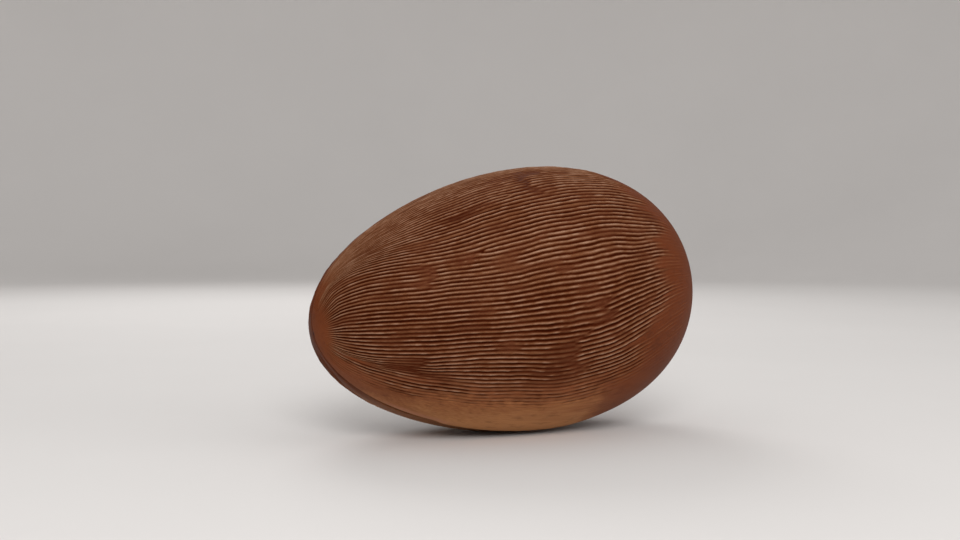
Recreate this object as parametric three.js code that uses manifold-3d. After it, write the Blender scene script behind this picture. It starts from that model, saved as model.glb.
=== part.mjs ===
// A large chocolate egg lying on its side. Two moulded half shells are joined along a
// rolled joint plane, and the skin is combed lengthwise into fine ridges.
// Millimetres, +Z up, long axis along X with the pointed end at -X and the blunt end at +X.
// The origin is at the middle of the egg's footprint, on the surface that it rests on.

import * as THREE from 'three';
import { mergeVertices } from 'three/addons/utils/BufferGeometryUtils.js';
import Module from 'manifold-3d';

const wasm = await Module();
wasm.setup();

// Driving dimensions
const LENGTH = 260; // pole to pole
const WIDTH = 168; // across the widest place
const TAPER = 0.34; // 0 is the same at both ends, more is pointed at -X and blunt at +X
const REST_SPOT_DEPTH = 0.8; // taken off the underside, where the egg rests

const JOINT_ROLL = radians(18); // the joint plane leans this far forward at the bottom
const JOINT_GROOVE = 1.5; // depth of the joint line between the halves
const REAR_SET_IN = 1.3; // how far the rear half's rim sits inside the front half's rim
const RIM_REACH = radians(16); // over this angle each rim comes back to the egg's outline
const REAR_BULGE = { along: -0.68, reach: 0.15, share: 1.2 }; // where the rear rim swells out
const FRONT_LIP = 0.9; // surplus chocolate that swells the front half's rim underneath
const FRONT_LIP_START = [-0.53, -0.47];
const FRONT_LIP_END = [0.1, 0.4];
const RIM_ANGLE = radians(1.2); // from the joint line up to the full height of a rim

// Angles on a half are counted from its middle: -90 degrees is the joint line underneath,
// +90 degrees is the joint line on top.
const RIDGES = 71; // on each half
const RIDGE_PITCH = radians(2.13); // round the axis, at mid length
const RIDGE_DEPTH = 1.3; // crest to groove
const LOWEST_RIDGE = radians(-66); // below this the underside is left smooth
const LIGHT_STRIP_TOP = radians(-49); // from the lowest ridge up to here the comb went lightly
const LIGHT_DEPTH = 0.6; // share of the ridge depth in that strip
const TOP_FADE = [radians(77), radians(85)]; // the ridges run out here, below the upper joint

// Towards the pointed end the ridges fan out from two straight ridges. Where the fans meet,
// the ridges between them are pressed together.
const FAN_GROWTH = 1.14;
const FAN_POWER = 5; // more keeps them as meridians until nearer to the pointed end
const FAN_MOST = 0.85; // reached close to the pointed pole
const UPPER_FAN = radians(-25); // where the straight ridge of each fan runs
const LOWER_FAN = radians(-50);
const UPPER_FAN_CLOSING = 0.64; // how fast the upper fan closes again towards the joint on top
const LOWER_FAN_CLOSING = 0.85; // and each fan below its straight ridge
const FAN_BLEND = radians(10); // over this angle a fan turns back softly

// On the lower right the comb set off again in another direction: the strokes sink a little
// before that kink and rise after it. The kink lies further right the higher the stroke.
const KINK_AT = { angle: radians(-36), along: -0.03, lean: 0.55, blend: radians(5) };
const KINK_RISE = radians(8); // for each half length past the kink
const KINK_CURVE = radians(22); // they rise ever steeper
const KINK_RISE_END = 0.5;
const KINK_FADE = [radians(-88), radians(-58)]; // lower strokes have less of it
const FALL = radians(1);
const FALL_MIDDLE = radians(-38);
const FALL_RUN = 0.35; // over this share of the half length
const FALL_REACH = radians(24); // to either side of the middle
const SWAY = { by: radians(0.4), along: 6, across: 4 }; // the strokes' slow wandering

const COMB_START = [-0.98, -0.9]; // ridges grow to full depth here, as shares of the half length
const LOWER_END = 0.29; // and run out from here, towards the blunt end
const UPPER_END = 0.5;
const END_TURN = [radians(-44), radians(-20)]; // here one end passes into the other
const END_FADE = 0.14;
const SQUEEZED = [0.35, 0.65]; // ridges pressed together to this share of their pitch die out

// Smooth patches where the ridges are worn: place along the axis as a share of the half
// length, angle from the half's middle, half length (same share) and half width.
const FRONT_WORN = [
  { along: -0.3, angle: radians(-31), reach: 0.07, spread: radians(3) },
  { along: -0.02, angle: radians(-42), reach: 0.05, spread: radians(6) },
  { along: 0.15, angle: radians(-22), reach: 0.08, spread: radians(3) },
  { along: -0.64, angle: radians(-48), reach: 0.06, spread: radians(2) },
  { along: -0.76, angle: radians(-45), reach: 0.1, spread: radians(3) },
  { along: -0.6, angle: radians(6), reach: 0.06, spread: radians(5) },
];
const REAR_WORN = [
  { along: -0.45, angle: radians(12), reach: 0.07, spread: radians(4) },
  { along: 0.12, angle: radians(-30), reach: 0.05, spread: radians(5) },
  { along: 0.2, angle: radians(35), reach: 0.09, spread: radians(3) },
  { along: -0.7, angle: radians(-25), reach: 0.06, spread: radians(5) },
];
const WORN_SHARE = 0.8; // how much of the ridge depth a patch takes away
const POLE_CALM = 0.3; // grooves die out where the egg is narrower than this share

const STATIONS = 20; // steps from pole to pole
const STEPS_PER_RIDGE = 2; // one crest and one groove
const SMOOTH_STEPS = 3; // steps across the smooth strip of the underside
const CHOCOLATE = 0x5a3422;

const HALF_LENGTH = LENGTH / 2;
const HALF_TURN = Math.PI / 2;
const FRONT = { middle: JOINT_ROLL, upwards: 1, rimOut: frontRimOut, worn: FRONT_WORN };
const REAR = { middle: JOINT_ROLL + Math.PI, upwards: -1, rimOut: rearRimOut, worn: REAR_WORN };

function radians(degrees) {
  return (degrees * Math.PI) / 180;
}

function smoothStep(start, end, value) {
  const share = THREE.MathUtils.clamp((value - start) / (end - start), 0, 1);
  return share * share * (3 - 2 * share);
}

// The egg's outline: u runs from -1 at the pointed pole to +1 at the blunt pole.
function outline(u) {
  return Math.sqrt((1 - u * u) / (1 - TAPER * u));
}

const WIDEST_AT = (1 - Math.sqrt(1 - TAPER * TAPER)) / TAPER;
const RADIUS = WIDTH / 2 / outline(WIDEST_AT);

// How fast the radius grows along the axis, in millimetres a millimetre.
function slope(u) {
  const step = 1e-4;
  const rise = outline(u + step) - outline(u - step);
  return (RADIUS * rise) / (2 * step * HALF_LENGTH);
}

// The tilt at which the egg lies still: the surface normal at the place that it touches
// runs through its centre of mass.
function restingTilt() {
  const slices = 400;
  let volume = 0;
  let moment = 0;
  for (let slice = 0; slice < slices; slice++) {
    const u = ((slice + 0.5) / slices) * 2 - 1;
    volume += outline(u) ** 2;
    moment += outline(u) ** 2 * u * HALF_LENGTH;
  }
  const balance = moment / volume;
  let low = -WIDEST_AT;
  let high = WIDEST_AT;
  while (high - low > 1e-6) {
    const u = (low + high) / 2;
    const normalFoot = u * HALF_LENGTH + RADIUS * outline(u) * slope(u);
    if (normalFoot > balance) high = u;
    else low = u;
  }
  return Math.atan(slope(low));
}

// The lesser of two values, with a soft turn where they are about equal.
function softLeast(first, second) {
  const share = THREE.MathUtils.clamp(0.5 + (second - first) / (2 * FAN_BLEND), 0, 1);
  const least = THREE.MathUtils.lerp(second, first, share);
  return least - FAN_BLEND * share * (1 - share);
}

// How far the fans move a ridge, before their strength at a place along the egg.
function fanReach(label) {
  if (label > UPPER_FAN) {
    return softLeast(label - UPPER_FAN, (HALF_TURN - label) * UPPER_FAN_CLOSING);
  }
  if (label > LOWER_FAN) {
    return -softLeast(UPPER_FAN - label, (label - LOWER_FAN) * LOWER_FAN_CLOSING);
  }
  return -softLeast(LOWER_FAN - label, (label + HALF_TURN) * LOWER_FAN_CLOSING);
}

// The fans' strength: it grows towards the pointed end.
function fanShare(u) {
  const towardsPoint = Math.max(0, (WIDEST_AT - u) / (WIDEST_AT + 1));
  return Math.min(FAN_MOST, FAN_GROWTH * towardsPoint ** FAN_POWER);
}

// How far past the kink a place on a stroke lies, as a share of the half length.
function pastKink(label, u) {
  const off = label - KINK_AT.angle;
  const above = (off + Math.sqrt(off * off + KINK_AT.blend ** 2)) / 2;
  return Math.max(0, Math.min(u, KINK_RISE_END) - KINK_AT.along - above * KINK_AT.lean);
}

// The angle that a ridge has at u, where label is the angle of the meridian it starts from.
function ridgeAngle(label, u) {
  const past = pastKink(label, u);
  const rise = (KINK_RISE + KINK_CURVE * past) * past * smoothStep(...KINK_FADE, label);

  const off = Math.min(1, Math.abs(label - FALL_MIDDLE) / FALL_REACH);
  const fall = FALL * smoothStep(-FALL_RUN, 0, u) * Math.cos(off * HALF_TURN) ** 2;

  const sway = SWAY.by * Math.sin(SWAY.along * u + SWAY.across * label) * Math.cos(label);
  return label + fanShare(u) * fanReach(label) + rise - fall + sway;
}

// How deep the comb went at a place, as a share of the full ridge depth.
function combShare(half, label, angle, u) {
  const end = THREE.MathUtils.lerp(LOWER_END, UPPER_END, smoothStep(...END_TURN, label));
  const along = smoothStep(...COMB_START, u) * (1 - smoothStep(end, end + END_FADE, u));
  const firm = smoothStep(LIGHT_STRIP_TOP - RIDGE_PITCH, LIGHT_STRIP_TOP + RIDGE_PITCH, label);
  const across = THREE.MathUtils.lerp(LIGHT_DEPTH, 1, firm);
  const opening = (fanReach(label + RIDGE_PITCH) - fanReach(label)) / RIDGE_PITCH;
  const squeezed = smoothStep(...SQUEEZED, 1 + fanShare(u) * opening);
  let left = squeezed * (1 - smoothStep(...TOP_FADE, label));
  for (const patch of half.worn) {
    const x = (u - patch.along) / patch.reach;
    const y = (angle - patch.angle) / patch.spread;
    left *= 1 - WORN_SHARE * Math.exp(-x * x - y * y);
  }
  return along * across * left;
}

// How far each half's rim stands out from the true outline, underneath and on top.
function frontRimOut(u, under) {
  if (!under) return 0;
  return FRONT_LIP * smoothStep(...FRONT_LIP_START, u) * (1 - smoothStep(...FRONT_LIP_END, u));
}

function rearRimOut(u) {
  const off = (u - REAR_BULGE.along) / REAR_BULGE.reach;
  return REAR_SET_IN * (REAR_BULGE.share * Math.exp(-off * off) - 1);
}

// The lines that run from pole to pole on one half, from the joint underneath to the joint
// on top: a rim, the smooth underside, then crests and grooves by turns, and a rim again.
function linesOfHalf(half) {
  const lowRim = RIM_ANGLE - HALF_TURN;
  const lines = [{ half, label: -HALF_TURN, groove: 'joint' }];
  for (let step = 0; step < SMOOTH_STEPS; step++) {
    const label = THREE.MathUtils.lerp(lowRim, LOWEST_RIDGE, step / SMOOTH_STEPS);
    lines.push({ half, label });
  }
  for (let step = 0; step <= RIDGES * STEPS_PER_RIDGE; step++) {
    const label = LOWEST_RIDGE + (step * RIDGE_PITCH) / STEPS_PER_RIDGE;
    lines.push({ half, label, groove: step % STEPS_PER_RIDGE ? 'comb' : 'none' });
  }
  lines.push({ half, label: HALF_TURN - RIM_ANGLE });
  lines.push({ half, label: HALF_TURN, groove: 'joint' });
  return lines;
}

// Up over the front half and down again over the rear half, which mirrors it.
function linesRound() {
  const up = linesOfHalf(FRONT).slice(0, -1);
  const down = linesOfHalf(REAR).reverse().slice(0, -1);
  return [...up, ...down];
}

// How far below the egg's true outline a line lies.
function sunkBy(line, angle, u) {
  if (line.groove === 'joint') return JOINT_GROOVE;
  const near = 1 - smoothStep(0, RIM_REACH, HALF_TURN - Math.abs(line.label));
  const rim = line.half.rimOut(u, line.label < 0) * near;
  if (line.groove !== 'comb') return -rim;
  return RIDGE_DEPTH * combShare(line.half, line.label, angle, u) - rim;
}

function surfacePoint(line, u) {
  if (Math.abs(u) === 1) return new THREE.Vector3(u * HALF_LENGTH, 0, 0);
  const angle = ridgeAngle(line.label, u);
  const turned = line.half.middle + line.half.upwards * angle;
  const lean = Math.atan(slope(u));
  const sunk = sunkBy(line, angle, u) * smoothStep(0, POLE_CALM, outline(u));
  const radius = RADIUS * outline(u) - sunk * Math.cos(lean);
  const along = u * HALF_LENGTH + sunk * Math.sin(lean);
  return new THREE.Vector3(along, -radius * Math.cos(turned), radius * Math.sin(turned));
}

// A sphere's grid of stations and lines, with every crossing moved onto the combed egg.
function combedSkin() {
  const lines = linesRound();
  const skin = new THREE.SphereGeometry(1, lines.length, STATIONS);
  skin.deleteAttribute('normal');
  skin.deleteAttribute('uv');
  const places = skin.getAttribute('position');
  for (let station = 0; station <= STATIONS; station++) {
    const u = station === STATIONS ? 1 : -Math.cos((Math.PI * station) / STATIONS);
    for (let column = 0; column <= lines.length; column++) {
      const point = surfacePoint(lines[column % lines.length], u);
      places.setXYZ(station * (lines.length + 1) + column, point.x, point.y, point.z);
    }
  }
  return mergeVertices(skin);
}

function solidOf(geometry) {
  const plain = geometry.clone();
  plain.deleteAttribute('normal');
  plain.deleteAttribute('uv');
  const merged = mergeVertices(plain);
  return new wasm.Manifold(
    new wasm.Mesh({
      numProp: 3,
      vertProperties: new Float32Array(merged.getAttribute('position').array),
      triVerts: new Uint32Array(merged.getIndex().array),
    }),
  );
}

function geometryOf(solid) {
  const mesh = solid.getMesh();
  const geometry = new THREE.BufferGeometry();
  geometry.setAttribute('position', new THREE.BufferAttribute(mesh.vertProperties, 3));
  geometry.setIndex(new THREE.BufferAttribute(mesh.triVerts, 1));
  return geometry;
}

// The egg tilted as it lies, with a small flat spot cut where it touches the surface.
function restingEgg() {
  const skin = combedSkin();
  skin.rotateY(-restingTilt());
  skin.computeBoundingBox();
  const floor = skin.boundingBox.min.z + REST_SPOT_DEPTH;
  const block = new THREE.BoxGeometry(LENGTH, WIDTH, WIDTH / 4);
  block.translate(0, 0, floor - WIDTH / 8);
  const cut = geometryOf(solidOf(skin).subtract(solidOf(block)));
  cut.computeBoundingBox();
  const middle = cut.boundingBox.getCenter(new THREE.Vector3());
  cut.translate(-middle.x, -middle.y, -cut.boundingBox.min.z);
  return cut;
}

const material = new THREE.MeshStandardMaterial({
  color: CHOCOLATE,
  roughness: 0.45,
  metalness: 0,
  flatShading: true,
});
const egg = new THREE.Mesh(restingEgg(), material);
egg.name = 'egg';

const model = new THREE.Group();
model.add(egg);

export default model;
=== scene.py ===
"""A chocolate egg of two combed half shells, lying on its side on a pale floor.

Metres, +Z up. The egg's long axis runs along X, with the pointed end at -X.

Two numbers name a point of the skin. u is its place along the egg, as a share of the half
length, from -1 at the pointed pole to +1 at the blunt pole. Its label is the angle of its
ridge before anything moves the ridge, counted from the middle of its half: -90 degrees is
the joint line underneath and +90 degrees the joint line on top. The fans, the kink and the
sway then turn a label into the real angle.
"""

from math import atan, atan2, cos, exp, pi, radians, sin, sqrt

import bmesh
import bpy
from mathutils import Matrix, Vector, noise


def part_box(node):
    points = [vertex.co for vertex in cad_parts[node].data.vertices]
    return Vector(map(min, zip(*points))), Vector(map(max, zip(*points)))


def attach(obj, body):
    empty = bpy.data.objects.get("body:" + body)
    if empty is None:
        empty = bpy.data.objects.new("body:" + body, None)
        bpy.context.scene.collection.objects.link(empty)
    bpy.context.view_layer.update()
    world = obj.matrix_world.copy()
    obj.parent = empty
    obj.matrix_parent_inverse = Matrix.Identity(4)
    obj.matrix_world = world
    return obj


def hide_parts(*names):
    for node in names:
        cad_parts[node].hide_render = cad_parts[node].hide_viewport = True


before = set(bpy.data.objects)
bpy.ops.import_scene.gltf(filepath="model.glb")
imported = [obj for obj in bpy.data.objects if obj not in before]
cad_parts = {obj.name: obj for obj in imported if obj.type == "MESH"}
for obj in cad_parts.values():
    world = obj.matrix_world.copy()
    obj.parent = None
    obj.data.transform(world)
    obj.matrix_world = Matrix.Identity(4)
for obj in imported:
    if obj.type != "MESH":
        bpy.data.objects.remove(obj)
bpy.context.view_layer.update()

# ---------------------------------------------------------------- the egg's own sizes

LENGTH = 0.260
WIDTH = 0.168
TAPER = 0.34  # how much slimmer the egg gets towards its pointed end
REST_SPOT_DEPTH = 0.0008  # how deep the egg is flattened where it rests

HALF_LENGTH = LENGTH / 2
QUARTER_TURN = pi / 2  # from the middle of a half to its joint line

# ---------------------------------------------------------------- the joint of the two halves

JOINT_ROLL = radians(18)  # the joint's plane leans back from upright by this
FRONT_RIM_ROUND = 0.0012  # radius that the edge of each half is rounded by
REAR_RIM_ROUND = 0.0028
RIM_REACH = radians(16)  # over this angle each rim comes back to the egg's outline
REAR_SET_IN = 0.0013  # how far the rear half's rim lies inside the outline
REAR_BULGE = {"along": -0.68, "reach": 0.15, "share": 1.2}  # here it bulges out instead
FRONT_LIP = 0.0009  # surplus chocolate that swells the front half's rim underneath
FRONT_LIP_RUN = (-0.53, -0.47, 0.1, 0.4)  # where it starts, is full, begins to end and ends

# Waves are given in the same way all through: how many to a half length, how many to a
# radian or to a ridge, and the lane that keeps one pattern apart from the others.
JOINT_WAVE = 0.0004
JOINT_WAVES = ((1.0, (6.0, 0.0, 0)), (0.5, (25.0, 0.0, 5)))  # each with its share
JOINT_WAVE_REACH = radians(6)  # over this angle the skin follows the joint's wave
JOINT_SEEDS = {"underneath": 11.0, "on top": 23.0}

FRONT_JOINT_SHADE = 0.0012  # painted shade: the chocolate is painted darker, in the worn colours, this near the joint
REAR_JOINT_SHADE = 0.03
JOINT_SHADE_WHOLE = 0.3  # share of that distance with the whole painted shade
SEAM_SHADE_WIDTH = 0.0017  # painted shade: the joint line is painted dark this far to either side, as shade in the groove between the rims
SEAM_SHADE_WHOLE = 0.4
RIM_HIGHLIGHT_RUN = (-0.78, -0.68, -0.5, -0.4)  # here the front half's rim underneath has a painted highlight, as light caught on its rounded edge
RIM_HIGHLIGHT_ACROSS = (0.0008, 0.0022, 0.0045, 0.009)  # at these distances from the joint

# ---------------------------------------------------------------- the ridges

RIDGES = 71
RIDGE_PITCH = radians(2.13)
RIDGE_DEPTH = 0.0013
LOWEST_RIDGE = radians(-66)
TOP_RIDGE = LOWEST_RIDGE + RIDGES * RIDGE_PITCH
LOWEST_FADE = (LOWEST_RIDGE - RIDGE_PITCH, LOWEST_RIDGE + 3 * RIDGE_PITCH)
TOP_FADE = (radians(77), radians(85))
POLE_CALM = 0.3  # the relief dies out where the egg is narrower than this share
ROUNDING_CALM = 0.04  # and the rims' rounding only at the very pole

CREST_SHARPNESS = 0.8  # more makes narrower crests and broader grooves
CREST_SPREAD = (0.75, 1.25)  # the bluntest and the sharpest ridge's share of that
CREST_LANE = 4
CREST_LOSS = 0.2  # the most that is missing from a crest
CREST_CHIPS = (0.5, 1.0, 0.0)  # the usual share of that loss, its swing and its least
CREST_WAVES = (36.0, 2.1, 0)

# How firmly the comb was pressed: the usual share, its swing and its least.
FIRMNESS = (0.85, 0.6, 0.3)
FIRMNESS_WAVES = (9.0, 0.9, 0)
FIRMNESS_SPREAD = 0.3  # between one ridge and another
FIRMNESS_LANE = 1

# How the strokes wander: share of a ridge, and waves.
WANDER = (
    (0.4, (5.0, 2.5, 0)),
    (0.12, (15.0, 6.0, 0)),
    (0.05, (50.0, 30.0, 0)),
)
SWAY = {"by": radians(0.4), "along": 6, "across": 4}  # and how they bend all together

# Near the joint underneath the comb went lightly.
LIGHT_STRIP_TOP = radians(-49)
LIGHT_STRIP_FADE = (LIGHT_STRIP_TOP - 2 * RIDGE_PITCH, LIGHT_STRIP_TOP + RIDGE_PITCH)
LIGHT_DEPTHS = (1.2, 0.85)  # on the left and further right
LIGHT_DEPTHS_RUN = (-0.7, -0.4)
LIGHT_PATCHES = (0.9, 1.0, 0.4)  # usual share, swing and least
LIGHT_WAVES = (5.0, 12.0, 5)
# Light strokes come and go. Usual share, swing and least, higher up and for the lowest ridge.
HIGH_DASHES = (0.9, 0.5, 0.35)
LOW_DASHES = (0.62, 1.5, 0.05)
DASHES_FADE = (LOWEST_RIDGE, LOWEST_RIDGE + 7 * RIDGE_PITCH)
DASH_WAVES = (24.0, 1.7, 6)

COMB_START = (-0.995, -0.95)  # the strokes start near the very point
LOWER_END = 0.29  # the ridges run out here, towards the blunt end
UPPER_END = 0.5
END_TURN = (radians(-44), radians(-20))  # between these angles one end passes into the other
END_RAGGED = 0.12
END_WAVES = (0.0, 5.0, 0)
END_FADE = 0.14
TRACES = 0.34  # what is left of the ridges beyond their end, at the most
TRACES_END = (0.5, 0.95)
TRACE_PATCHES = (0.5, 1.5, 0.0)  # usual share, swing and least
TRACE_WAVES = (7.0, 0.7, 9)

# ---------------------------------------------------------------- the run of the ridges

# Towards the pointed end the ridges fan out from two straight ridges. Where the fans meet,
# the ridges between them are pressed together.
FAN_GROWTH = 1.14  # how strongly they fan out towards the very point
FAN_POWER = 5  # how late that starts
FAN_MOST = 0.85  # but never more strongly than this
UPPER_FAN = radians(-25)
LOWER_FAN = radians(-50)
UPPER_FAN_CLOSING = 0.64  # how fast the upper fan closes again towards the joint on top
LOWER_FAN_CLOSING = 0.85  # and each fan below its straight ridge
FAN_BLEND = radians(10)
SQUEEZED = (0.35, 0.65)  # share of its width at which a ridge is pressed flat, and is whole

# The kink on the lower right: strokes sink a little before it and rise after it. Below its
# angle it lies straight across them, and above that it leans to the right.
KINK_AT = {"angle": radians(-36), "along": -0.03, "lean": 0.55, "blend": radians(5)}
KINK_RISE = radians(8)
KINK_CURVE = radians(22)  # they rise ever steeper
KINK_RISE_END = 0.55
KINK_END_BLEND = 0.14  # they turn level again softly
KINK_FADE = (radians(-88), radians(-58))
FALL = radians(1)  # how far they sink before it
FALL_MIDDLE = radians(-38)  # most of all here
FALL_RUN = 0.35
FALL_REACH = radians(24)

# ---------------------------------------------------------------- worn places

# Smooth patches where the ridges are worn: place, angle, half length and half width.
FRONT_WORN = (
    {"along": -0.3, "angle": radians(-31), "reach": 0.07, "spread": radians(2.5)},
    {"along": -0.04, "angle": radians(-47), "reach": 0.09, "spread": radians(2.2)},
    {"along": -0.055, "angle": radians(-26), "reach": 0.03, "spread": radians(1.5)},
    {"along": 0.14, "angle": radians(-24), "reach": 0.06, "spread": radians(1.8)},
    {"along": 0.12, "angle": radians(-17), "reach": 0.08, "spread": radians(1.4)},
    {"along": -0.13, "angle": radians(-43.5), "reach": 0.1, "spread": radians(3)},
    {"along": -0.64, "angle": radians(-48.5), "reach": 0.06, "spread": radians(2)},
    {"along": -0.76, "angle": radians(-45.5), "reach": 0.1, "spread": radians(2.6)},
    {"along": -0.42, "angle": radians(12), "reach": 0.06, "spread": radians(2)},
    {"along": 0.0, "angle": radians(-1), "reach": 0.11, "spread": radians(1.6)},
    {"along": -0.3, "angle": radians(38), "reach": 0.1, "spread": radians(3)},
    {"along": 0.1, "angle": radians(55), "reach": 0.12, "spread": radians(4)},
)
REAR_WORN = (
    {"along": -0.45, "angle": radians(12), "reach": 0.1, "spread": radians(4)},
    {"along": 0.12, "angle": radians(-30), "reach": 0.08, "spread": radians(5)},
    {"along": 0.2, "angle": radians(35), "reach": 0.12, "spread": radians(3)},
    {"along": -0.7, "angle": radians(-25), "reach": 0.08, "spread": radians(5)},
    {"along": -0.2, "angle": radians(-8), "reach": 0.08, "spread": radians(2)},
)
WORN_SHARE = 0.62  # how far the middle of a patch is worn
WORN_OVER = (0.15, 0.8)  # strength of a patch where wear starts, and where it is full
WORN_RAGGED = 1.8  # how uneven it is
RAGGED_WAVES = ((1.0, (14.0, 26.0, 2)), (0.7, (45.0, 80.0, 3)))  # each with its share
SCATTERED = 0.4  # how far small places all over the combed skin are worn as well
SCATTERED_OVER = (0.14, 0.42)
SCATTERED_WAVES = (6.0, 12.0, 7)

# ---------------------------------------------------------------- breaks and forks

# Where the comb was lifted and set down again. Each break crosses the ridges within
# "reach" of its middle angle, and at both ends of that it lies further right by "bend".
FRONT_BREAKS = (
    {"along": -0.005, "bend": 0.12, "middle": radians(-36), "reach": radians(12)},
    {"along": 0.18, "bend": 0.0, "middle": radians(-19.5), "reach": radians(6)},
    {"along": -0.7, "bend": 0.1, "middle": radians(-42), "reach": radians(8)},
    {"along": -0.58, "bend": -0.05, "middle": radians(6), "reach": radians(8)},
    {"along": 0.02, "bend": 0.1, "middle": radians(45), "reach": radians(12)},
)
REAR_BREAKS = (
    {"along": 0.05, "bend": 0.15, "middle": radians(-22), "reach": radians(14)},
    {"along": -0.52, "bend": -0.06, "middle": radians(20), "reach": radians(10)},
    {"along": -0.1, "bend": 0.08, "middle": radians(52), "reach": radians(9)},
)
BREAK_WHOLE = 0.6  # share of a break's reach that it crosses whole, before it fades
BREAK_SHIFT = 0.5  # of a ridge, from one side of a break to the other
BREAK_RUN = 0.15  # the ridges bend back into their old run over this distance
BREAK_WANDER = 0.06  # how far a break strays from its line
BREAK_WAVES = (0.0, 14.0, 0)
BREAK_RAGGED = 0.022  # how much further off than others a ridge's end can be
BREAK_FADE = 0.06  # the old strokes run out over this distance
BREAK_TIP = 0.014  # length of the rounded tips that the new strokes start with
BREAK_ROUND = 0.008  # how much earlier a ridge's middle starts than its sides
BREAK_DEPTH = 0.62  # how much of the ridges' height a break takes away

# Places where one ridge splits in two (+1) or two run together (-1), as seen from the left.
FRONT_FORKS = (
    {"along": -0.35, "angle": radians(14), "turn": -1},
    {"along": -0.1, "angle": radians(40), "turn": 1},
)
REAR_FORKS = (
    {"along": 0.1, "angle": radians(5), "turn": 1},
    {"along": -0.42, "angle": radians(-30), "turn": -1},
    {"along": -0.15, "angle": radians(40), "turn": -1},
)

# ---------------------------------------------------------------- the halves and their mesh

HALVES = (
    {"name": "front", "middle": JOINT_ROLL, "upwards": 1, "seed": 0.0,
     "round": FRONT_RIM_ROUND, "joint_shade": FRONT_JOINT_SHADE,
     "worn": FRONT_WORN, "breaks": FRONT_BREAKS, "forks": FRONT_FORKS},
    {"name": "rear", "middle": JOINT_ROLL + pi, "upwards": -1, "seed": 40.0,
     "round": REAR_RIM_ROUND, "joint_shade": REAR_JOINT_SHADE,
     "worn": REAR_WORN, "breaks": REAR_BREAKS, "forks": REAR_FORKS},
)

PLAIN_LEVEL = 0.62  # height of smooth chocolate, from 0 in a groove to 1 on a crest
WORN_LEVEL = 0.4  # and of worn chocolate
# The wear mark holds painted shade near the joint besides real wear, the seam mark is painted
# shade along the joint line, and the pale mark is a painted highlight on the front rim.
MARKS = ("height", "wear", "plain", "seam", "pale")  # kept at each point of the skin

STEPS_ALONG = 205  # of the mesh, from pole to pole
STEPS_PER_RIDGE = 6
RIM_ANGLE = radians(2.2)  # so near the joint the mesh is finer
# Steps of the mesh round a half: from one angle to the next, and how many.
STRIPS = (
    (radians(-90), RIM_ANGLE - radians(90), 9),
    (RIM_ANGLE - radians(90), LOWEST_RIDGE, 22),
    (LOWEST_RIDGE, TOP_RIDGE, RIDGES * STEPS_PER_RIDGE),
    (TOP_RIDGE, radians(90) - RIM_ANGLE, 4),
    (radians(90) - RIM_ANGLE, radians(90), 9),
)
STEPS_ROUND = sum(count for _, _, count in STRIPS)
SAME_POINT = 1e-6  # points of the skin that are nearer than this are one


# ---------------------------------------------------------------- small sums

def clamp(value, low=0.0, high=1.0):
    return max(low, min(high, value))


def between(start, end, share):
    return start + (end - start) * share


def smooth_step(start, end, value):
    share = clamp((value - start) / (end - start))
    return share * share * (3 - 2 * share)


def hump(start, full, ebb, end, value):
    """0 outside start to end, 1 from full to ebb."""
    return smooth_step(start, full, value) * (1 - smooth_step(ebb, end, value))


def soft_rise(value, blend):
    """0 well below zero and the value well above it, with a soft turn between."""
    return (value + sqrt(value * value + blend ** 2)) / 2


def soft_stop(value, stop, blend):
    """The value well below the stop and the stop well above it, with a soft turn between."""
    return (value + stop - sqrt((value - stop) ** 2 + blend ** 2)) / 2


# Uneven numbers. Others would give another egg.
CHANCE_BY_NUMBER = 12.9898
CHANCE_BY_LANE = 78.233
CHANCE_SCATTER = 43758.5453


def chance(number, lane=0.0):
    """A fixed share, as good as random, for a ridge's number."""
    value = sin(number * CHANCE_BY_NUMBER + lane * CHANCE_BY_LANE) * CHANCE_SCATTER
    return value % 1.0


def ripple(u, across, waves, seed):
    """A smooth wandering value, about -0.5 to 0.5. Across is an angle or a ridge's number."""
    along_waves, across_waves, lane = waves
    return noise.noise(Vector((u * along_waves, across * across_waves, seed + lane)))


def ripples(u, across, layers, seed):
    """Ripples laid over each other, each layer with its share."""
    return sum(share * ripple(u, across, waves, seed) for share, waves in layers)


def uneven(shares, wandering):
    """A share that wanders about its usual value, and is never less than its least."""
    usual, swing, least = shares
    return clamp(usual + swing * wandering, least)


# ---------------------------------------------------------------- the egg's form

def outline(u):
    """Radius of the egg at u, as a share of RADIUS."""
    return sqrt(max(0.0, (1 - u * u) / (1 - TAPER * u)))


WIDEST_AT = (1 - sqrt(1 - TAPER * TAPER)) / TAPER
RADIUS = WIDTH / 2 / outline(WIDEST_AT)
SLOPE_STEP = 1e-4


def slope(u):
    """How steeply the outline widens at u."""
    low = max(-1.0, u - SLOPE_STEP)
    high = min(1.0, u + SLOPE_STEP)
    return RADIUS * (outline(high) - outline(low)) / ((high - low) * HALF_LENGTH)


BALANCE_SLICES = 400
RESTS_PAST = -0.6  # the egg can only rest somewhere between this and its widest place
REST_PRECISION = 1e-6


def resting_tilt():
    """The tilt at which the surface normal at the place that touches runs through the
    centre of mass."""
    slices = [(index + 0.5) / BALANCE_SLICES * 2 - 1 for index in range(BALANCE_SLICES)]
    volume = sum(outline(u) ** 2 for u in slices)
    balance = sum(outline(u) ** 2 * u * HALF_LENGTH for u in slices) / volume
    low, high = RESTS_PAST, WIDEST_AT
    while high - low > REST_PRECISION:
        u = (low + high) / 2
        if u * HALF_LENGTH + RADIUS * outline(u) * slope(u) > balance:
            high = u
        else:
            low = u
    return atan(slope(low))


# ---------------------------------------------------------------- where the ridges run

def soft_least(first, second):
    """The lesser of two angles, with a soft turn where they are about equal."""
    share = clamp(0.5 + (second - first) / (2 * FAN_BLEND))
    return between(second, first, share) - FAN_BLEND * share * (1 - share)


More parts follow.
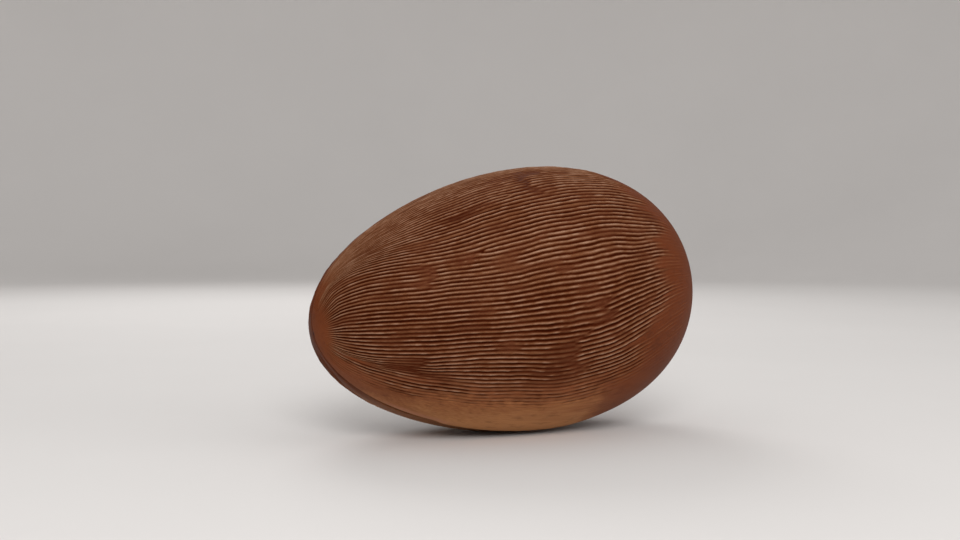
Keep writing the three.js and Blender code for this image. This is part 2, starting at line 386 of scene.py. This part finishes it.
def fan_reach(label):
    """How far the fan moves a ridge, before its strength at a place along the egg."""
    if label > UPPER_FAN:
        return soft_least(label - UPPER_FAN, (QUARTER_TURN - label) * UPPER_FAN_CLOSING)
    if label > LOWER_FAN:
        return -soft_least(UPPER_FAN - label, (label - LOWER_FAN) * LOWER_FAN_CLOSING)
    return -soft_least(LOWER_FAN - label, (label + QUARTER_TURN) * LOWER_FAN_CLOSING)


def fan_share(u):
    """The fans' strength: it grows towards the pointed end."""
    towards_point = clamp((WIDEST_AT - u) / (WIDEST_AT + 1))
    return min(FAN_MOST, FAN_GROWTH * towards_point ** FAN_POWER)


def kink_rise(label, u):
    """How far a ridge has risen past the kink."""
    above = soft_rise(label - KINK_AT["angle"], KINK_AT["blend"])
    kink = KINK_AT["along"] + above * KINK_AT["lean"]
    past = max(0.0, soft_stop(u, KINK_RISE_END, KINK_END_BLEND) - kink)
    return (KINK_RISE + KINK_CURVE * past) * past * smooth_step(*KINK_FADE, label)


def kink_fall(label, u):
    """How far a ridge sinks before the kink."""
    off = min(1.0, abs(label - FALL_MIDDLE) / FALL_REACH)
    return FALL * smooth_step(-FALL_RUN, 0, u) * cos(off * QUARTER_TURN) ** 2


def ridge_angle(label, u):
    """The angle that a ridge really has at u."""
    sway = SWAY["by"] * sin(SWAY["along"] * u + SWAY["across"] * label) * cos(label)
    fan = fan_share(u) * fan_reach(label)
    return label + fan + kink_rise(label, u) - kink_fall(label, u) + sway


# ---------------------------------------------------------------- the combed relief

def forked(forks, label, u):
    """How many ridges the forks add or take away at a place."""
    shift = 0.0
    for fork in forks:
        along = (u - fork["along"]) * HALF_LENGTH
        across = (label - fork["angle"]) * RADIUS
        shift += fork["turn"] * atan2(across, -along) / (2 * pi)
    return shift


def across_breaks(breaks, phase, label, u):
    """The ridges' phase beyond the breaks, and how much of the ridges is left there."""
    left = 1.0
    for number, gap in enumerate(breaks):
        off = abs(label - gap["middle"]) / gap["reach"]
        if off >= 1:
            continue
        here = 1 - smooth_step(BREAK_WHOLE, 1.0, off)
        past = u - gap["along"] - gap["bend"] * off * off
        past += BREAK_WANDER * ripple(0.0, label, BREAK_WAVES, number)
        bent = exp(-abs(past) / BREAK_RUN)
        phase += here * bent * (BREAK_SHIFT / 2 if past > 0 else -BREAK_SHIFT / 2)
        ridge = round(phase)
        aside = 2 * (phase - ridge)
        beyond = abs(past) - BREAK_RAGGED * chance(ridge, number) - BREAK_ROUND * aside * aside
        tip = smooth_step(0, BREAK_TIP if past > 0 else BREAK_FADE, beyond)
        left *= 1 - BREAK_DEPTH * here * (1 - tip)
    return phase, left


def worn_share(patches, angle, u, ragged):
    """How far a place is worn smooth, from 0 to 1."""
    kept = 1.0
    for patch in patches:
        x = (u - patch["along"]) / patch["reach"]
        y = (angle - patch["angle"]) / patch["spread"]
        strength = exp(-x * x - y * y) * (1 + WORN_RAGGED * ragged)
        kept *= 1 - WORN_SHARE * smooth_step(*WORN_OVER, strength)
    return 1 - kept


def reach_along(ridge, label, u, seed):
    """The strokes' depth from where they start to their ragged end and the traces past it."""
    end = between(LOWER_END, UPPER_END, smooth_step(*END_TURN, label))
    end += END_RAGGED * (chance(ridge, seed) - 0.5 + ripple(0.0, label, END_WAVES, seed))
    fading = smooth_step(end, end + END_FADE, u)
    traces = TRACES * (1 - smooth_step(*TRACES_END, u))
    traces *= uneven(TRACE_PATCHES, ripple(u, ridge, TRACE_WAVES, seed))
    return smooth_step(*COMB_START, u) * between(1.0, traces, fading)


def reach_across(ridge, label, u, seed):
    """The strokes' depth from the joint underneath, over the light strip, to the firm ones."""
    light = between(*LIGHT_DEPTHS, smooth_step(*LIGHT_DEPTHS_RUN, u))
    light *= uneven(LIGHT_PATCHES, ripple(u, label, LIGHT_WAVES, seed))
    lowness = 1 - smooth_step(*DASHES_FADE, label)
    dashes = [between(*pair, lowness) for pair in zip(HIGH_DASHES, LOW_DASHES)]
    light *= uneven(dashes, ripple(u, ridge, DASH_WAVES, seed))
    light *= smooth_step(*LOWEST_FADE, label)
    return between(min(1.0, light), 1.0, smooth_step(*LIGHT_STRIP_FADE, label))


def comb_reach(ridge, label, u, seed):
    """How deep the comb went where nothing is worn, as a share of the full depth."""
    opening = (fan_reach(label + RIDGE_PITCH) - fan_reach(label)) / RIDGE_PITCH
    squeezed = smooth_step(*SQUEEZED, 1 + fan_share(u) * opening)
    along = reach_along(ridge, label, u, seed)
    across = reach_across(ridge, label, u, seed)
    return along * across * squeezed * (1 - smooth_step(*TOP_FADE, label))


def crest_profile(ridge, phase, u, seed):
    """Height across one ridge, from 0 in its grooves to 1 on a whole crest."""
    sharpness = CREST_SHARPNESS * between(*CREST_SPREAD, chance(ridge, seed + CREST_LANE))
    profile = (0.5 + 0.5 * cos(2 * pi * phase)) ** sharpness
    return profile * (1 - CREST_LOSS * uneven(CREST_CHIPS, ripple(u, ridge, CREST_WAVES, seed)))


def comb_relief(half, label, angle, u):
    """Height, from 0 in a groove to 1 on a crest, and how worn and how plain the place is."""
    seed = half["seed"]
    wander = ripples(u, label, WANDER, seed)
    # The phase counts the ridges: it is whole on a crest, and a half more in a groove.
    phase = (label - LOWEST_RIDGE) / RIDGE_PITCH + wander + forked(half["forks"], label, u)
    phase, left = across_breaks(half["breaks"], phase, label, u)
    ridge = round(phase)

    reach = comb_reach(ridge, label, u, seed)
    usual, swing, least = FIRMNESS
    usual += FIRMNESS_SPREAD * (chance(ridge, seed + FIRMNESS_LANE) - 0.5)
    depth = reach * uneven((usual, swing, least), ripple(u, ridge, FIRMNESS_WAVES, seed))

    ragged = ripples(u, label, RAGGED_WAVES, seed)
    patch = ripple(u, label, SCATTERED_WAVES, seed)
    scattered = SCATTERED * smooth_step(*SCATTERED_OVER, patch)
    worn = 1 - (1 - worn_share(half["worn"], angle, u, ragged)) * left * (1 - scattered)

    smooth = between(PLAIN_LEVEL, WORN_LEVEL, worn * reach)
    height = between(smooth, crest_profile(ridge, phase, u, seed), depth * (1 - worn))
    return height, worn * reach, 1 - reach


# ---------------------------------------------------------------- the rims at the joint

def joint_wave(label, u):
    """How far the joint line wanders at a place along the egg."""
    seed = JOINT_SEEDS["underneath" if label < 0 else "on top"]
    return JOINT_WAVE * ripples(u, 0.0, JOINT_WAVES, seed)


def rim_rounding(half, label, u):
    """How far the rounded edge of a half lies below its skin."""
    from_joint = (QUARTER_TURN - abs(label)) * RADIUS * outline(u)
    corner = clamp(1 - from_joint / half["round"])
    rounded = half["round"] * (1 - sqrt(1 - corner * corner))
    return rounded * smooth_step(0, ROUNDING_CALM, outline(u))


def rim_offset(half, label, u):
    """How far the skin near the joint stands out from the true outline."""
    near = 1 - smooth_step(0, RIM_REACH, QUARTER_TURN - abs(label))
    if half["name"] == "rear":
        off = (u - REAR_BULGE["along"]) / REAR_BULGE["reach"]
        return -near * REAR_SET_IN * (1 - REAR_BULGE["share"] * exp(-off * off))
    return FRONT_LIP * hump(*FRONT_LIP_RUN, u) * near if label < 0 else 0.0


def joint_marks(half, label, u):
    """How far a place has painted shade near the joint, how far it has the joint line's painted
    shade, and how far it has the front rim's painted highlight.
    """
    off = (QUARTER_TURN - abs(label)) * RADIUS * outline(u)
    joint_shade = 1 - smooth_step(JOINT_SHADE_WHOLE * half["joint_shade"], half["joint_shade"], off)
    seam = 1 - smooth_step(SEAM_SHADE_WHOLE * SEAM_SHADE_WIDTH, SEAM_SHADE_WIDTH, off)
    # The pale mark is a painted highlight on the front rim's rounded edge.
    lit_rim = half["name"] == "front" and label < 0
    pale = hump(*RIM_HIGHLIGHT_RUN, u) * hump(*RIM_HIGHLIGHT_ACROSS, off) if lit_rim else 0.0
    return joint_shade, seam, pale


# ---------------------------------------------------------------- the two half shells

def label_at(share):
    """The label of the mesh line that lies at a share of the way round a half."""
    step = share * STEPS_ROUND
    for start, end, count in STRIPS:
        if step <= count:
            return between(start, end, step / count)
        step -= count
    return QUARTER_TURN


def skin_point(half, label, u):
    """Place of a point of the skin, and its marks."""
    angle = ridge_angle(label, u)
    height, worn, plain = comb_relief(half, label, angle, u)
    calm = smooth_step(0, POLE_CALM, outline(u))
    out = (rim_offset(half, label, u) - (1 - height) * RIDGE_DEPTH) * calm
    out -= rim_rounding(half, label, u)
    lean = atan(slope(u)) if abs(u) < 1 else 0.0
    radius = RADIUS * outline(u) + out * cos(lean)
    along = u * HALF_LENGTH - out * sin(lean)

    follows = 1 - smooth_step(0, JOINT_WAVE_REACH, QUARTER_TURN - abs(label))
    side = joint_wave(label, u) * follows * calm / RADIUS
    turned = half["middle"] + half["upwards"] * angle + side
    place = Vector((along, -radius * cos(turned), radius * sin(turned)))

    # The wear mark carries the painted shade near the joint as well as real wear.
    joint_shade, seam, pale = joint_marks(half, label, u)
    return place, (height, max(worn, joint_shade), plain, seam, pale)


def half_shell(half):
    """One half: a flat grid whose points are moved onto the combed skin, closed along the
    joint."""
    bm = bmesh.new()
    bmesh.ops.create_grid(bm, x_segments=STEPS_ALONG, y_segments=STEPS_ROUND, size=1.0)
    layers = [bm.verts.layers.float.new(mark) for mark in MARKS]
    for vert in bm.verts:
        u = sin(vert.co.x * QUARTER_TURN)
        label = label_at((vert.co.y + 1) / 2)
        vert.co, marks = skin_point(half, label, u)
        for layer, value in zip(layers, marks):
            vert[layer] = value
    bmesh.ops.remove_doubles(bm, verts=bm.verts, dist=SAME_POINT)
    open_edges = [edge for edge in bm.edges if edge.is_boundary]
    bmesh.ops.holes_fill(bm, edges=open_edges, sides=0)
    bmesh.ops.recalc_face_normals(bm, faces=bm.faces)
    bm.transform(Matrix.Rotation(-resting_tilt(), 4, "Y"))
    mesh = bpy.data.meshes.new("egg_half_" + half["name"])
    bm.to_mesh(mesh)
    bm.free()
    piece = bpy.data.objects.new(mesh.name, mesh)
    bpy.context.scene.collection.objects.link(piece)
    return piece


def corners(pieces):
    """The lowest and the highest corner of the box round some pieces."""
    points = [vert.co for piece in pieces for vert in piece.data.vertices]
    low = Vector(min(point[axis] for point in points) for axis in range(3))
    high = Vector(max(point[axis] for point in points) for axis in range(3))
    return low, high


def lay_down(pieces):
    """Sets the halves in the frame's place for the egg and flattens the rest spot.
    Returns the middle of the egg's axis."""
    low, high = corners(pieces)
    cad_low, cad_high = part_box("egg")
    move = (cad_low + cad_high - low - high) / 2
    move.z = cad_low.z - REST_SPOT_DEPTH - low.z
    for piece in pieces:
        for vert in piece.data.vertices:
            vert.co += move
            vert.co.z = max(vert.co.z, cad_low.z)
        piece.data.shade_smooth()
        piece.data.update()
    return move


# ---------------------------------------------------------------- how materials are made

class Socket:
    """Wraps a shader socket, so that numbers are worked out with plain operators."""

    def __init__(self, finish, link):
        self.finish = finish
        self.link = link

    def maths(self, operation, first, second):
        settings = {"operation": operation}
        return self.finish.add("ShaderNodeMath", settings, {0: first, 1: second})

    def __add__(self, other):
        return self.maths("ADD", self, other)

    __radd__ = __add__

    def __sub__(self, other):
        return self.maths("SUBTRACT", self, other)

    def __rsub__(self, other):
        return self.maths("SUBTRACT", other, self)

    def __mul__(self, other):
        return self.maths("MULTIPLY", self, other)

    __rmul__ = __mul__

    def at_least(self, least):
        return self.maths("MAXIMUM", self, least)


def linear(colour):
    """A colour given as it looks on screen, from 0 to 255, made linear and opaque."""
    shares = [channel / 255 for channel in colour]
    linears = [s / 12.92 if s <= 0.04045 else ((s + 0.055) / 1.055) ** 2.4 for s in shares]
    return (*linears, 1.0)


DETAIL_SHARE = 0.55  # strength of each finer layer of a pattern, against the one before


class Finish:
    """A material's node tree, with one method that makes any node."""

    def __init__(self, name):
        self.material = bpy.data.materials.new(name)
        self.material.use_nodes = True
        self.nodes = self.material.node_tree.nodes
        self.links = self.material.node_tree.links
        self.shader = self.nodes["Principled BSDF"]

    def add(self, kind, settings=None, inputs=None, output=0):
        node = self.nodes.new(kind)
        for name, value in (settings or {}).items():
            if name == "stops":
                self.set_stops(node.color_ramp, value)
            else:
                setattr(node, name, value)
        self.feed(node, inputs or {})
        return Socket(self, node.outputs[output])

    def set_stops(self, ramp, stops):
        while len(ramp.elements) < len(stops):
            ramp.elements.new(0.5)
        for element, (place, colour) in zip(ramp.elements, stops):
            element.position = place
            element.color = linear(colour)

    def feed(self, node, inputs):
        for name, value in inputs.items():
            if isinstance(value, Socket):
                self.links.new(value.link, node.inputs[name])
            else:
                node.inputs[name].default_value = value

    def surface(self, **inputs):
        """Feeds the shader's inputs, named with _ for a space, and gives the material."""
        self.feed(self.shader, {name.replace("_", " "): inputs[name] for name in inputs})
        return self.material

    def mix(self, share, *colours):
        first, second = (c if isinstance(c, Socket) else linear(c) for c in colours)
        inputs = {"Factor": share, 6: first, 7: second}
        return self.add("ShaderNodeMix", {"data_type": "RGBA"}, inputs, output=2)

    def attribute(self, name):
        return self.add("ShaderNodeAttribute", {"attribute_name": name}, output="Fac")

    def ramp(self, share, stops):
        return self.add("ShaderNodeValToRGB", {"stops": stops}, {"Fac": share})

    def place(self, axis):
        place = self.add("ShaderNodeTexCoord", output="Object")
        return self.add("ShaderNodeSeparateXYZ", inputs={"Vector": place}, output=axis)

    def pattern(self, stretch=(1.0, 1.0, 1.0), fineness=1.0, detail=3.0):
        """Noise: stretch times fineness gives its waves to a metre along each axis."""
        place = self.add("ShaderNodeTexCoord", output="Object")
        place = self.add("ShaderNodeMapping", inputs={"Vector": place, "Scale": stretch})
        return self.add("ShaderNodeTexNoise", inputs={
            "Vector": place, "Scale": fineness, "Detail": detail,
            "Roughness": DETAIL_SHARE})


def wobble(pattern, size):
    """A pattern, which runs from 0 to 1, as one of that size about zero."""
    return (pattern - 0.5) * size


# ---------------------------------------------------------------- the chocolate

MOTTLE = {"fineness": 34.0, "detail": 4.0}
STREAKS = {"stretch": (60.0, 900.0, 900.0)}
SMEARS = {"stretch": (14.0, 70.0, 70.0), "detail": 4.0}
SPECKLE = {"stretch": (110.0, 240.0, 240.0), "detail": 4.0}
GRAIN = {"fineness": 900.0, "detail": 2.0}

# Colours as they look on screen. Combed chocolate, from a groove at 0 to a crest at 1, its dark
# grooves partly painted shade and its pale crests partly dry bloom and partly painted highlight:
COMBED_COLOURS_WITH_PAINTED_LIGHT = (
    (0.0, (44, 9, 0)),
    (0.35, (62, 20, 2)),
    (0.7, (108, 68, 44)),
    (1.0, (152, 117, 95)),
)
COMBED_MOTTLE = 0.3  # of that scale, from end to end of a pattern
COMBED_STREAKS = 0.2
# Smooth chocolate, reddish brown, lighter towards the bottom and tan underneath with painted
# light bounced up from the floor:
SMOOTH_COLOURS_AND_BOUNCE_LIGHT = (
    (0.08, (178, 125, 80)),
    (0.17, (148, 95, 59)),
    (0.23, (125, 74, 45)),
    (0.31, (114, 62, 36)),
    (0.38, (110, 57, 29)),
    (0.64, (95, 45, 19)),
)
SMOOTH_PER_METRE = 8.0  # of that scale, to a metre of height
RED_END = 0.03  # right of this the underside turns from tan to reddish
RED_RISE = 0.8  # metres of height that each metre further right counts for
TAN_END = -0.03  # left of this the tan reaches higher up
TAN_RISE = 0.06  # and those that each metre further left takes off
SMEAR_HEIGHT = 0.022  # metres of height that a pattern counts for, from end to end
STREAK_HEIGHT = 0.018
MOTTLE_HEIGHT = 0.008
SPECK_COLOUR = (62, 26, 10)
SPECK_OVER = 0.55  # specks are where their pattern is more than this
SPECK_SHARE = 1.9
# Traces of the ridges on the smooth skin: grooves painted darker and crests lighter, partly
# painted shade and highlight.
TRACE_GROOVE_SHADE_COLOUR = (84, 34, 13)
TRACE_GROOVE_SHADE_SHARE = 1.4
TRACE_CREST_HIGHLIGHT_COLOUR = (170, 123, 90)
TRACE_CREST_HIGHLIGHT_SHARE = 1.6
SMOOTH_SHARE = 1.25  # how soon a plain place has the smooth colours

# Worn chocolate; the painted shade near the joint takes these colours too.
WORN_AND_JOINT_SHADE_COLOURS = ((0.3, (60, 24, 10)), (0.7, (88, 42, 24)))
WORN_AND_JOINT_SHADE_SHARE = 0.65
# Painted highlight on the front half's rim underneath.
RIM_HIGHLIGHT_COLOUR = (176, 122, 98)
RIM_HIGHLIGHT_SHARE = 0.5
# Painted shade along the joint line.
SEAM_SHADE_COLOUR = (34, 9, 2)
SEAM_SHADE_SHARE = 0.85

ROUGHNESS = {"usual": 0.65, "mottle": 0.2, "crests": 0.08, "wear": 0.12}
SHEEN = {"Specular_IOR_Level": 0.02, "Coat_Roughness": 0.34}
COAT = 0.14  # on smooth chocolate alone
RELIEF = {"streaks": 0.6, "grain": 0.4}
BUMP = {"Strength": 0.5, "Distance": 0.00025}


def smooth_skin(finish, height, mottle, streaks):
    """The colour where the comb didn't go: lighter and tan towards the bottom with painted
    bounce light from the floor, with dark specks, and with traces of the ridges, their grooves
    painted shade and their crests a painted highlight.
    """
    along = finish.place("X")
    right = (along - RED_END).at_least(0.0)
    left = (TAN_END - along).at_least(0.0)
    level = finish.place("Z") + right * RED_RISE - left * TAN_RISE
    level = level + wobble(finish.pattern(**SMEARS), SMEAR_HEIGHT)
    level = level + wobble(streaks, STREAK_HEIGHT) + wobble(mottle, MOTTLE_HEIGHT)
    # Lower down the colour is lighter and tan: painted light bounced up from the floor.
    colour = finish.ramp(level * SMOOTH_PER_METRE, SMOOTH_COLOURS_AND_BOUNCE_LIGHT)

    specks = (finish.pattern(**SPECKLE) - SPECK_OVER) * SPECK_SHARE
    colour = finish.mix(specks, colour, SPECK_COLOUR)
    # Painted shade in the traces' grooves and a painted highlight on their crests.
    grooves = (PLAIN_LEVEL - height) * TRACE_GROOVE_SHADE_SHARE
    colour = finish.mix(grooves, colour, TRACE_GROOVE_SHADE_COLOUR)
    crests = (height - PLAIN_LEVEL) * TRACE_CREST_HIGHLIGHT_SHARE
    return finish.mix(crests, colour, TRACE_CREST_HIGHLIGHT_COLOUR)


def chocolate():
    """Combed chocolate: pale crests and dark grooves, partly dry bloom and partly painted
    highlight and shade, redder where it is worn, and a smooth skin where the comb didn't go,
    reddish at the ends and tan underneath with painted bounce light from the floor. Painted
    shade lies near the joint and along its line, and a painted highlight on the front rim
    underneath."""
    finish = Finish("combed_chocolate")
    height, wear, plain, seam, pale = (finish.attribute(mark) for mark in MARKS)
    mottle = finish.pattern(**MOTTLE)
    streaks = finish.pattern(**STREAKS)
    grain = finish.pattern(**GRAIN)

    # Crests are painted pale and grooves dark: partly the chocolate's own dry bloom, partly
    # painted highlight and shade of the relief.
    crest = height + wobble(mottle, COMBED_MOTTLE) + wobble(streaks, COMBED_STREAKS)
    colour = finish.ramp(crest, COMBED_COLOURS_WITH_PAINTED_LIGHT)
    smooth = smooth_skin(finish, height, mottle, streaks)
    colour = finish.mix(plain * SMOOTH_SHARE, colour, smooth)
    # Real wear, and the painted shade near the joint, in the worn colours.
    colour = finish.mix(wear * WORN_AND_JOINT_SHADE_SHARE, colour, finish.ramp(mottle, WORN_AND_JOINT_SHADE_COLOURS))
    # Painted highlight on the front half's rim underneath.
    colour = finish.mix(pale * RIM_HIGHLIGHT_SHARE, colour, RIM_HIGHLIGHT_COLOUR)
    # Painted shade along the joint line.
    colour = finish.mix(seam * SEAM_SHADE_SHARE, colour, SEAM_SHADE_COLOUR)

    rough = ROUGHNESS["usual"] + wobble(mottle, ROUGHNESS["mottle"])
    rough = rough + height * ROUGHNESS["crests"] - wear * ROUGHNESS["wear"]
    relief = streaks * RELIEF["streaks"] + grain * RELIEF["grain"]
    bump = finish.add("ShaderNodeBump", inputs={**BUMP, "Height": relief})
    return finish.surface(
        Base_Color=colour, Roughness=rough, Normal=bump, Coat_Weight=plain * COAT, **SHEEN)


# ---------------------------------------------------------------- the floor

STAGE_RADIUS = 2.4  # of the level floor
STAGE_CURVE = 0.9  # radius that it turns up with
STAGE_HEIGHT = 1.8
STAGE_SIDES = 96
CURVE_STEPS = 12
FLOOR_SAME_POINT = 1e-5
FLOOR_FINENESS = 3.0
FLOOR_COLOURS = ((208, 205, 203), (213, 210, 208))
FLOOR_ROUGHNESS = 0.9


def floor_paint():
    finish = Finish("pale_floor")
    colour = finish.mix(finish.pattern(fineness=FLOOR_FINENESS), *FLOOR_COLOURS)
    return finish.surface(Base_Color=colour, Roughness=FLOOR_ROUGHNESS)


def stage_profile():
    """The floor from its middle outwards, up a round curve and then straight up."""
    points = [Vector((0, 0, 0))]
    for step in range(CURVE_STEPS + 1):
        turn = QUARTER_TURN * step / CURVE_STEPS
        points.append(Vector((
            STAGE_RADIUS + STAGE_CURVE * sin(turn), 0, STAGE_CURVE * (1 - cos(turn)))))
    points.append(Vector((STAGE_RADIUS + STAGE_CURVE, 0, STAGE_HEIGHT)))
    return points


def make_floor():
    bm = bmesh.new()
    verts = [bm.verts.new(point) for point in stage_profile()]
    edges = [bm.edges.new(pair) for pair in zip(verts, verts[1:])]
    bmesh.ops.spin(bm, geom=verts + edges, axis=(0, 0, 1), cent=(0, 0, 0), angle=2 * pi,
                   steps=STAGE_SIDES, use_merge=True)
    bmesh.ops.remove_doubles(bm, verts=bm.verts, dist=FLOOR_SAME_POINT)
    bmesh.ops.recalc_face_normals(bm, faces=bm.faces)
    mesh = bpy.data.meshes.new("floor")
    bm.to_mesh(mesh)
    bm.free()
    mesh.shade_smooth()
    floor = bpy.data.objects.new("floor", mesh)
    bpy.context.scene.collection.objects.link(floor)
    mesh.materials.append(floor_paint())


# ---------------------------------------------------------------- lights and camera

# Soft round lights that point at the egg: place from its middle, width and power.
LAMPS = (
    {"name": "key", "place": Vector((-0.7, -1.5, 0.9)), "width": 0.9, "power": 24.0},
    {"name": "fill", "place": Vector((1.4, -1.2, 0.5)), "width": 1.2, "power": 6.0},
    {"name": "rim", "place": Vector((0.4, 1.6, 1.2)), "width": 1.0, "power": 12.0},
)
WORLD_COLOUR = (0.80, 0.79, 0.78, 1.0)
WORLD_STRENGTH = 0.8

# The camera looks across the egg from its pointed end's side, a little down.
CAMERA_FROM_MIDDLE = Vector((-0.4095, -0.7083, 0.0473))
CAMERA_AZIMUTH = radians(28.97)
CAMERA_DROP = radians(1.87)
FOCAL_LENGTH = 48.4
SENSOR_WIDTH = 36.0
NEAREST_SEEN = 0.01


def aimed(data, place, target):
    thing = bpy.data.objects.new(data.name, data)
    bpy.context.scene.collection.objects.link(thing)
    thing.location = place
    thing.rotation_euler = (target - place).to_track_quat("-Z", "Y").to_euler()
    return thing


def make_lights(middle):
    for lamp in LAMPS:
        data = bpy.data.lights.new(lamp["name"], "AREA")
        data.shape = "DISK"
        data.size = lamp["width"]
        data.energy = lamp["power"]
        aimed(data, middle + lamp["place"], middle)


def make_world():
    world = bpy.data.worlds.new("studio")
    bpy.context.scene.world = world
    world.use_nodes = True
    background = world.node_tree.nodes["Background"]
    background.inputs["Color"].default_value = WORLD_COLOUR
    background.inputs["Strength"].default_value = WORLD_STRENGTH


def make_camera(middle):
    data = bpy.data.cameras.new("camera")
    data.lens = FOCAL_LENGTH
    data.sensor_width = SENSOR_WIDTH
    data.clip_start = NEAREST_SEEN
    place = middle + CAMERA_FROM_MIDDLE
    level = cos(CAMERA_DROP)
    ahead = Vector((sin(CAMERA_AZIMUTH) * level, cos(CAMERA_AZIMUTH) * level, -sin(CAMERA_DROP)))
    bpy.context.scene.camera = aimed(data, place, place + ahead)


# ---------------------------------------------------------------- putting it together

pieces = [half_shell(half) for half in HALVES]
axis_middle = lay_down(pieces)
skin = chocolate()
for piece in pieces:
    piece.data.materials.append(skin)
    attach(piece, "root")
    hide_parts("egg")

make_floor()
make_lights(axis_middle)
make_world()
make_camera(axis_middle)

view = bpy.context.scene.view_settings
view.view_transform = "Standard"
